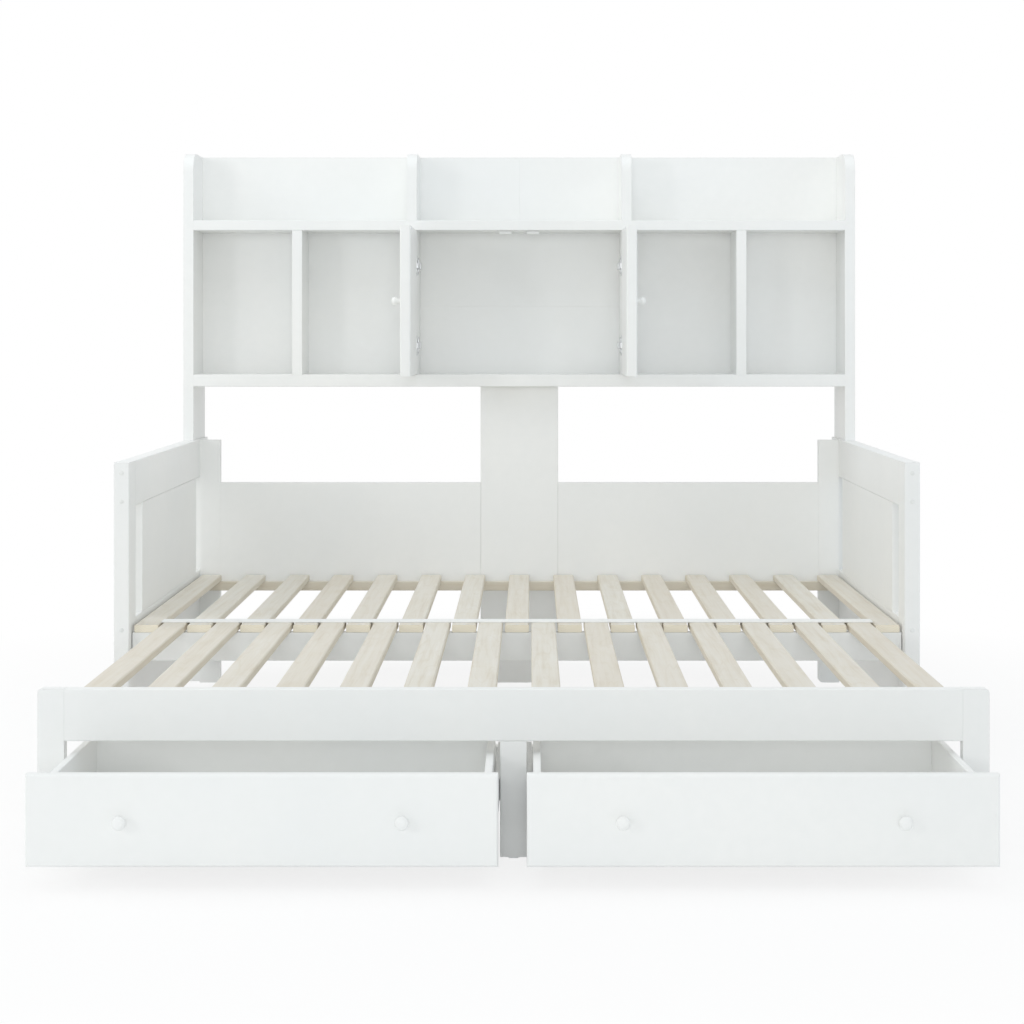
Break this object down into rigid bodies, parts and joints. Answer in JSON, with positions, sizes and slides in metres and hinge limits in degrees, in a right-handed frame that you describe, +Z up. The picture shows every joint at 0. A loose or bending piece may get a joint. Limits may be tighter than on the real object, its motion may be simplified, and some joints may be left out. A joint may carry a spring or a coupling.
{
  "type": "pull-out daybed",
  "caption": "Painted daybed with a slatted deck, a slatted frame that pulls out to widen it, drawers under the pulled-out part, and a hutch with shelves, cubbies and hinged doors.",
  "frame": {"origin": "on the floor, under the middle of the box of the opened bed", "axes": "+X to the viewer's right along the bed, +Y from the pulled-out front to the hutch, +Z up"},
  "size_m": [2.01, 2.332, 1.594],
  "materials": {
    "painted_board": "satin white paint",
    "natural_wood": "clear satin lacquer",
    "steel": "zinc plated",
    "white_plastic": "matte"
  },
  "bodies": {
    "daybed": {"front_posts": "painted_board", "rear_posts": "painted_board", "top_rails": "painted_board", "bottom_rails": "painted_board", "side_panels": "painted_board", "corner_boards": "painted_board", "centre_board": "painted_board", "left_back_panel": "painted_board", "right_back_panel": "painted_board", "rear_ledger": "natural_wood", "front_apron": "painted_board", "apron_brackets": "steel", "fixed_slats": "natural_wood", "hutch_left_side": "painted_board", "hutch_right_side": "painted_board", "hutch_bottom_shelf": "painted_board", "hutch_upper_shelf": "painted_board", "outer_dividers": "painted_board", "door_dividers": "painted_board", "upper_dividers": "painted_board", "cubby_backs": "painted_board", "centre_backs": "painted_board", "top_backs": "painted_board", "joining_plates": "steel", "door_catches": "white_plastic", "hinge_arms": "steel"},
    "pull_out_frame": {"front_rail": "painted_board", "left_front_leg": "painted_board", "right_front_leg": "painted_board", "centre_leg": "painted_board", "leg_glides": "white_plastic", "pull_out_slats": "natural_wood", "tie_bar": "painted_board", "bay_rails": "painted_board", "bay_stretcher": "painted_board", "slide_outer_members": "steel"},
    "left_drawer": {"left_drawer_front": "painted_board", "left_drawer_box": "painted_board", "left_drawer_bottom": "painted_board", "left_drawer_knobs": "painted_board", "left_slide_inners": "steel"},
    "left_slide_middles": {"left_slide_middles": "steel"},
    "left_door": {"left_door": "painted_board", "left_hinge_cups": "steel", "left_strike_plate": "steel"},
    "left_hinge_links": {"left_hinge_links": "steel"},
    "right_drawer": {"right_drawer_front": "painted_board", "right_drawer_box": "painted_board", "right_drawer_bottom": "painted_board", "right_drawer_knobs": "painted_board", "right_slide_inners": "steel"},
    "right_slide_middles": {"right_slide_middles": "steel"},
    "right_door": {"right_door": "painted_board", "right_hinge_cups": "steel", "right_strike_plate": "steel"},
    "right_hinge_links": {"right_hinge_links": "steel"}
  },
  "joints": [
    {"name": "pull_out", "type": "slide", "parent": "daybed", "child": "pull_out_frame", "axis": [0, 1, 0], "range_m": [0, 0.918]},
    {"name": "left_drawer", "type": "slide", "parent": "pull_out_frame", "child": "left_drawer", "axis": [0, -1, 0], "range_m": [-0.1985, 0.15]},
    {"name": "left_slide_travel", "type": "slide", "parent": "pull_out_frame", "child": "left_slide_middles", "axis": [0, -1, 0], "range_m": [-0.09925, 0.075]},
    {"name": "left_door", "type": "hinge", "parent": "daybed", "child": "left_door", "pos_m": [-0.321, 0.978, 1.147], "axis": [0, 0, 1], "range_deg": [0, 90]},
    {"name": "left_hinge_link", "type": "hinge", "parent": "daybed", "child": "left_hinge_links", "pos_m": [-0.30156, 1.00117, 1.147], "axis": [0, 0, 1], "range_deg": [-30, 0]},
    {"name": "right_drawer", "type": "slide", "parent": "pull_out_frame", "child": "right_drawer", "axis": [0, -1, 0], "range_m": [-0.1985, 0.15]},
    {"name": "right_slide_travel", "type": "slide", "parent": "pull_out_frame", "child": "right_slide_middles", "axis": [0, -1, 0], "range_m": [-0.09925, 0.075]},
    {"name": "right_door", "type": "hinge", "parent": "daybed", "child": "right_door", "pos_m": [0.321, 0.978, 1.147], "axis": [0, 0, -1], "range_deg": [0, 90]},
    {"name": "right_hinge_link", "type": "hinge", "parent": "daybed", "child": "right_hinge_links", "pos_m": [0.30156, 1.00117, 1.147], "axis": [0, 0, -1], "range_deg": [-30, 0]}
  ],
  "couplings": [
    {"joint": "left_slide_travel", "follows": "left_drawer", "ratio": 0.5},
    {"joint": "left_hinge_link", "follows": "left_door", "ratio": -0.33333},
    {"joint": "right_slide_travel", "follows": "right_drawer", "ratio": 0.5},
    {"joint": "right_hinge_link", "follows": "right_door", "ratio": -0.33333}
  ]
}
